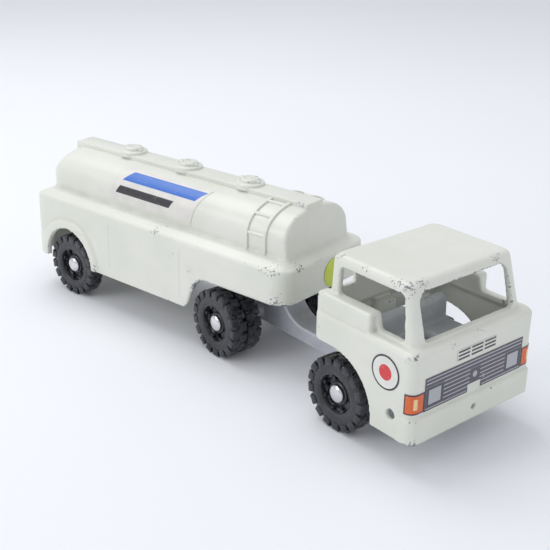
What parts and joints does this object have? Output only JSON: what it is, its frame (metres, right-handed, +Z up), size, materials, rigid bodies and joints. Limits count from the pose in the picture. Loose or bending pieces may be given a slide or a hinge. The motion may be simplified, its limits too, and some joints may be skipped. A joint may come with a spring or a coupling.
{
  "type": "toy tanker truck",
  "caption": "Articulated cast-metal toy tanker: a hollow D-section tank trailer swinging on a kingpin behind a cab-over tractor, with rolling treaded wheels.",
  "frame": {"origin": "centre of the footprint of the whole truck at rest, on the floor under the wheels", "axes": "+X along the trailer towards the cab, +Y to the truck's left, +Z up; at rest the tractor is turned 10.5 degrees to the right"},
  "size_m": [0.413, 0.1438, 0.1208],
  "materials": {
    "cream_paint": "satin",
    "bare_casting": "dull as cast",
    "bright_steel": "bright",
    "polished_cap": "polished",
    "black_tyre": "matt",
    "grey_seat": "satin",
    "white_sticker": "semi gloss",
    "yellow_sticker": "semi gloss",
    "dark_sticker": "semi gloss",
    "orange_sticker": "semi gloss"
  },
  "bodies": {
    "trailer": {"trailer_body": "cream_paint", "kingpin_washer": "bright_steel", "kingpin_screw": "bright_steel", "tank_sticker_right": "white_sticker", "tank_sticker_left": "white_sticker", "nose_sticker": "yellow_sticker"},
    "tractor": {"cab": "cream_paint", "chassis": "bare_casting", "seat": "grey_seat", "cab_screw_rear": "bright_steel", "cab_screw_right": "bright_steel", "cab_screw_left": "bright_steel", "grille_sticker": "dark_sticker", "vent_sticker": "white_sticker", "lamp_sticker_right": "orange_sticker", "lamp_sticker_left": "orange_sticker", "door_sticker_right": "white_sticker", "door_sticker_left": "white_sticker"},
    "trailer_axle_set": {"trailer_axle": "bright_steel", "trailer_axle_cap_right": "polished_cap", "trailer_axle_cap_left": "polished_cap"},
    "front_axle_set": {"front_axle": "bright_steel", "front_axle_cap_right": "polished_cap", "front_axle_cap_left": "polished_cap"},
    "drive_axle_set": {"drive_axle": "bright_steel", "drive_axle_cap_right": "polished_cap", "drive_axle_cap_left": "polished_cap"},
    "trailer_wheel_right_body": {"trailer_wheel_right": "black_tyre"},
    "trailer_wheel_left_body": {"trailer_wheel_left": "black_tyre"},
    "front_wheel_right_body": {"front_wheel_right": "black_tyre"},
    "front_wheel_left_body": {"front_wheel_left": "black_tyre"},
    "drive_wheel_outer_right_body": {"drive_wheel_outer_right": "black_tyre"},
    "drive_wheel_outer_left_body": {"drive_wheel_outer_left": "black_tyre"},
    "drive_wheel_inner_right_body": {"drive_wheel_inner_right": "black_tyre"},
    "drive_wheel_inner_left_body": {"drive_wheel_inner_left": "black_tyre"}
  },
  "joints": [
    {"name": "kingpin_swing", "type": "hinge", "parent": "trailer", "child": "tractor", "pos_m": [0.00848, 0.01605, 0.051], "axis": [0, 0, 1], "range_deg": [-79.5, 100.5]},
    {"name": "trailer_axle_turn", "type": "hinge", "parent": "trailer", "child": "trailer_axle_set", "pos_m": [-0.16622, 0.01605, 0.025], "axis": [0, 1, 0], "continuous": true},
    {"name": "front_axle_turn", "type": "hinge", "parent": "tractor", "child": "front_axle_set", "pos_m": [0.13051, -0.00656, 0.025], "axis": [0.1822, 0.9833, 0], "continuous": true},
    {"name": "drive_axle_turn", "type": "hinge", "parent": "tractor", "child": "drive_axle_set", "pos_m": [0.00475, 0.01675, 0.025], "axis": [0.1822, 0.9833, 0], "continuous": true},
    {"name": "trailer_wheel_right_spin", "type": "hinge", "parent": "trailer", "child": "trailer_wheel_right_body", "pos_m": [-0.16622, -0.02475, 0.025], "axis": [0, 1, 0], "continuous": true},
    {"name": "trailer_wheel_left_spin", "type": "hinge", "parent": "trailer", "child": "trailer_wheel_left_body", "pos_m": [-0.16622, 0.05685, 0.025], "axis": [0, 1, 0], "continuous": true},
    {"name": "front_wheel_right_spin", "type": "hinge", "parent": "tractor", "child": "front_wheel_right_body", "pos_m": [0.1222, -0.0514, 0.025], "axis": [0.1822, 0.9833, 0], "continuous": true},
    {"name": "front_wheel_left_spin", "type": "hinge", "parent": "tractor", "child": "front_wheel_left_body", "pos_m": [0.13882, 0.03828, 0.025], "axis": [0.1822, 0.9833, 0], "continuous": true},
    {"name": "drive_wheel_outer_right_spin", "type": "hinge", "parent": "tractor", "child": "drive_wheel_outer_right_body", "pos_m": [-0.00356, -0.02809, 0.025], "axis": [0.1822, 0.9833, 0], "continuous": true},
    {"name": "drive_wheel_outer_left_spin", "type": "hinge", "parent": "tractor", "child": "drive_wheel_outer_left_body", "pos_m": [0.01306, 0.06158, 0.025], "axis": [0.1822, 0.9833, 0], "continuous": true},
    {"name": "drive_wheel_inner_right_spin", "type": "hinge", "parent": "tractor", "child": "drive_wheel_inner_right_body", "pos_m": [-0.00119, -0.01531, 0.025], "axis": [0.1822, 0.9833, 0], "continuous": true},
    {"name": "drive_wheel_inner_left_spin", "type": "hinge", "parent": "tractor", "child": "drive_wheel_inner_left_body", "pos_m": [0.01069, 0.0488, 0.025], "axis": [0.1822, 0.9833, 0], "continuous": true}
  ]
}
